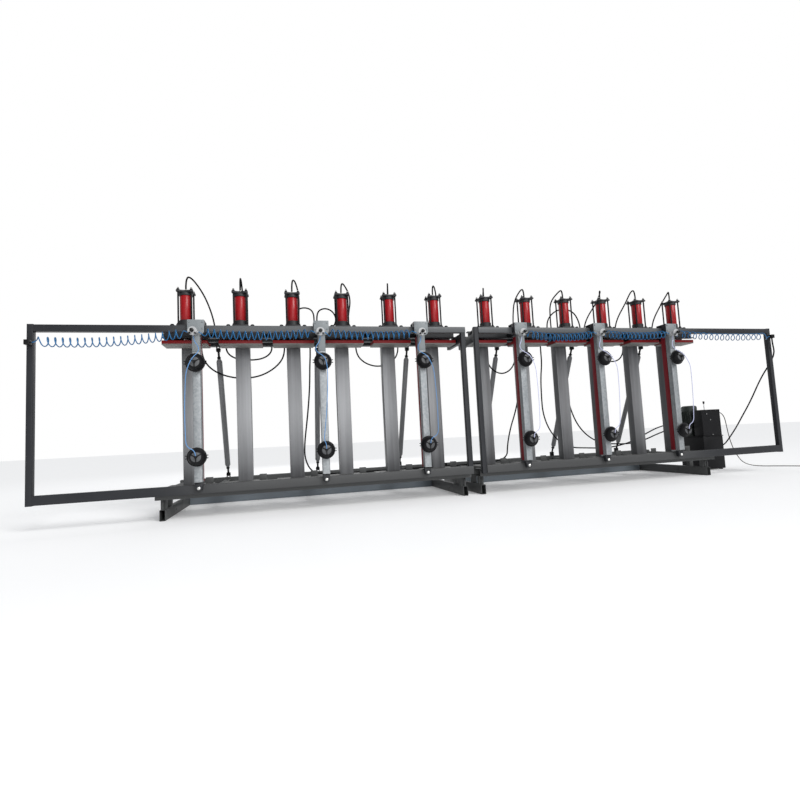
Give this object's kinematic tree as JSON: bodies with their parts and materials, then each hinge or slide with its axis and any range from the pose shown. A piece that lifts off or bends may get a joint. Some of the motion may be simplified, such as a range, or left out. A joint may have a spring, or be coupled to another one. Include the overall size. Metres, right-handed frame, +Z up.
{
  "type": "hydraulic timber press",
  "caption": "Long hydraulic timber press: a row of tie-rod press cylinders over an open throat, with sliding air clamps on front rails, rear braces and a separate oil power unit.",
  "frame": {"origin": "centre of the footprint of the press and its clamps on the floor, cords left out", "axes": "+X along the rails towards the power unit, +Y from the operator's side to the braces, +Z up"},
  "size_m": [9.25, 1.54, 2.3311],
  "materials": {
    "frame_grey": "satin",
    "rail_grey": "satin",
    "floor_blue_grey": "satin",
    "bed_grey": "satin",
    "column_grey": "satin",
    "cylinder_red": "gloss",
    "press_red": "satin",
    "bar_red": "satin",
    "charcoal": "satin",
    "black_steel": "satin",
    "galvanised": "satin",
    "plated_steel": "satin",
    "black_rubber": "matte",
    "black_plastic": "matte",
    "spiral_blue": "gloss",
    "unit_black": "satin",
    "motor_green": "satin"
  },
  "bodies": {
    "frame": {"base_feet": "frame_grey", "base_long_beams": "frame_grey", "base_rear_beams": "floor_blue_grey", "base_cross_members": "frame_grey", "bed_plates": "bed_grey", "lower_rails": "rail_grey", "upper_rails": "rail_grey", "posts_and_brackets": "rail_grey", "columns": "column_grey", "top_beams": "frame_grey", "brace_tubes": "column_grey", "brace_forks": "black_steel", "cylinder_barrels": "cylinder_red", "cylinder_heads": "charcoal", "tie_rods": "black_steel", "hose_fittings": "plated_steel", "oil_manifolds": "black_steel", "cylinder_hoses": "black_rubber", "supply_hoses": "black_rubber", "oil_tank": "unit_black", "motor": "motor_green", "valve_block": "plated_steel", "control_box": "unit_black", "air_hose": "black_rubber", "mains_cable": "black_rubber", "mains_coil": "black_rubber", "mains_plug": "black_plastic", "spiral_hoses_left": "spiral_blue", "spiral_hoses_right": "spiral_blue"},
    "ram_body_1": {"ram_1": "press_red"},
    "ram_body_2": {"ram_2": "press_red"},
    "ram_body_3": {"ram_3": "press_red"},
    "ram_body_4": {"ram_4": "press_red"},
    "ram_body_5": {"ram_5": "press_red"},
    "ram_body_6": {"ram_6": "press_red"},
    "ram_body_7": {"ram_7": "press_red"},
    "ram_body_8": {"ram_8": "press_red"},
    "ram_body_9": {"ram_9": "press_red"},
    "ram_body_10": {"ram_10": "press_red"},
    "ram_body_11": {"ram_11": "press_red"},
    "ram_body_12": {"ram_12": "press_red"},
    "clamp_1": {"clamp_1_frame": "galvanised", "clamp_1_actuators": "charcoal"},
    "clamp_2": {"clamp_2_frame": "galvanised", "clamp_2_actuators": "charcoal"},
    "clamp_3": {"clamp_3_frame": "galvanised", "clamp_3_actuators": "charcoal"},
    "clamp_6": {"clamp_6_frame": "galvanised", "clamp_6_actuators": "charcoal"},
    "clamp_5": {"clamp_5_frame": "galvanised", "clamp_5_actuators": "charcoal"},
    "clamp_4": {"clamp_4_frame": "galvanised", "clamp_4_actuators": "charcoal"},
    "clamp_1_bar": {"clamp_1_press_bar": "bar_red"},
    "clamp_2_bar": {"clamp_2_press_bar": "bar_red"},
    "clamp_3_bar": {"clamp_3_press_bar": "bar_red"},
    "clamp_4_bar": {"clamp_4_press_bar": "bar_red"},
    "clamp_5_bar": {"clamp_5_press_bar": "bar_red"},
    "clamp_6_bar": {"clamp_6_press_bar": "bar_red"},
    "lever": {"valve_lever": "plated_steel"}
  },
  "joints": [
    {"name": "ram_1_press", "type": "slide", "parent": "frame", "child": "ram_body_1", "axis": [0, 0, 1], "range_m": [-0.2, 0]},
    {"name": "ram_2_press", "type": "slide", "parent": "frame", "child": "ram_body_2", "axis": [0, 0, 1], "range_m": [-0.2, 0]},
    {"name": "ram_3_press", "type": "slide", "parent": "frame", "child": "ram_body_3", "axis": [0, 0, 1], "range_m": [-0.2, 0]},
    {"name": "ram_4_press", "type": "slide", "parent": "frame", "child": "ram_body_4", "axis": [0, 0, 1], "range_m": [-0.2, 0]},
    {"name": "ram_5_press", "type": "slide", "parent": "frame", "child": "ram_body_5", "axis": [0, 0, 1], "range_m": [-0.2, 0]},
    {"name": "ram_6_press", "type": "slide", "parent": "frame", "child": "ram_body_6", "axis": [0, 0, 1], "range_m": [-0.2, 0]},
    {"name": "ram_7_press", "type": "slide", "parent": "frame", "child": "ram_body_7", "axis": [0, 0, 1], "range_m": [-0.2, 0]},
    {"name": "ram_8_press", "type": "slide", "parent": "frame", "child": "ram_body_8", "axis": [0, 0, 1], "range_m": [-0.2, 0]},
    {"name": "ram_9_press", "type": "slide", "parent": "frame", "child": "ram_body_9", "axis": [0, 0, 1], "range_m": [-0.2, 0]},
    {"name": "ram_10_press", "type": "slide", "parent": "frame", "child": "ram_body_10", "axis": [0, 0, 1], "range_m": [-0.2, 0]},
    {"name": "ram_11_press", "type": "slide", "parent": "frame", "child": "ram_body_11", "axis": [0, 0, 1], "range_m": [-0.2, 0]},
    {"name": "ram_12_press", "type": "slide", "parent": "frame", "child": "ram_body_12", "axis": [0, 0, 1], "range_m": [-0.2, 0]},
    {"name": "clamp_1_slide", "type": "slide", "parent": "frame", "child": "clamp_1", "axis": [1, 0, 0], "range_m": [-0.973, 0.1], "deforming": ["spiral_hoses_left"]},
    {"name": "clamp_2_slide", "type": "slide", "parent": "clamp_1", "child": "clamp_2", "axis": [1, 0, 0], "range_m": [-0.817, 0.1]},
    {"name": "clamp_3_slide", "type": "slide", "parent": "clamp_2", "child": "clamp_3", "axis": [1, 0, 0], "range_m": [-0.693, 0.15]},
    {"name": "clamp_6_slide", "type": "slide", "parent": "frame", "child": "clamp_6", "axis": [1, 0, 0], "range_m": [-0.1, 1.175], "deforming": ["spiral_hoses_right"]},
    {"name": "clamp_5_slide", "type": "slide", "parent": "clamp_6", "child": "clamp_5", "axis": [1, 0, 0], "range_m": [-0.1, 0.655]},
    {"name": "clamp_4_slide", "type": "slide", "parent": "clamp_5", "child": "clamp_4", "axis": [1, 0, 0], "range_m": [-0.15, 0.653]},
    {"name": "clamp_1_push", "type": "slide", "parent": "clamp_1", "child": "clamp_1_bar", "axis": [0, 1, 0], "range_m": [0, 0.06], "stiffness_N_per_m": 3000},
    {"name": "clamp_2_push", "type": "slide", "parent": "clamp_2", "child": "clamp_2_bar", "axis": [0, 1, 0], "range_m": [0, 0.06], "stiffness_N_per_m": 3000},
    {"name": "clamp_3_push", "type": "slide", "parent": "clamp_3", "child": "clamp_3_bar", "axis": [0, 1, 0], "range_m": [0, 0.06], "stiffness_N_per_m": 3000},
    {"name": "clamp_4_push", "type": "slide", "parent": "clamp_4", "child": "clamp_4_bar", "axis": [0, 1, 0], "range_m": [0, 0.06], "stiffness_N_per_m": 3000},
    {"name": "clamp_5_push", "type": "slide", "parent": "clamp_5", "child": "clamp_5_bar", "axis": [0, 1, 0], "range_m": [0, 0.06], "stiffness_N_per_m": 3000},
    {"name": "clamp_6_push", "type": "slide", "parent": "clamp_6", "child": "clamp_6_bar", "axis": [0, 1, 0], "range_m": [0, 0.06], "stiffness_N_per_m": 3000},
    {"name": "valve_lever_tilt", "type": "hinge", "parent": "frame", "child": "lever", "pos_m": [3.745, 0.245, 0.705], "axis": [1, 0, 0], "range_deg": [-20, 20]}
  ]
}
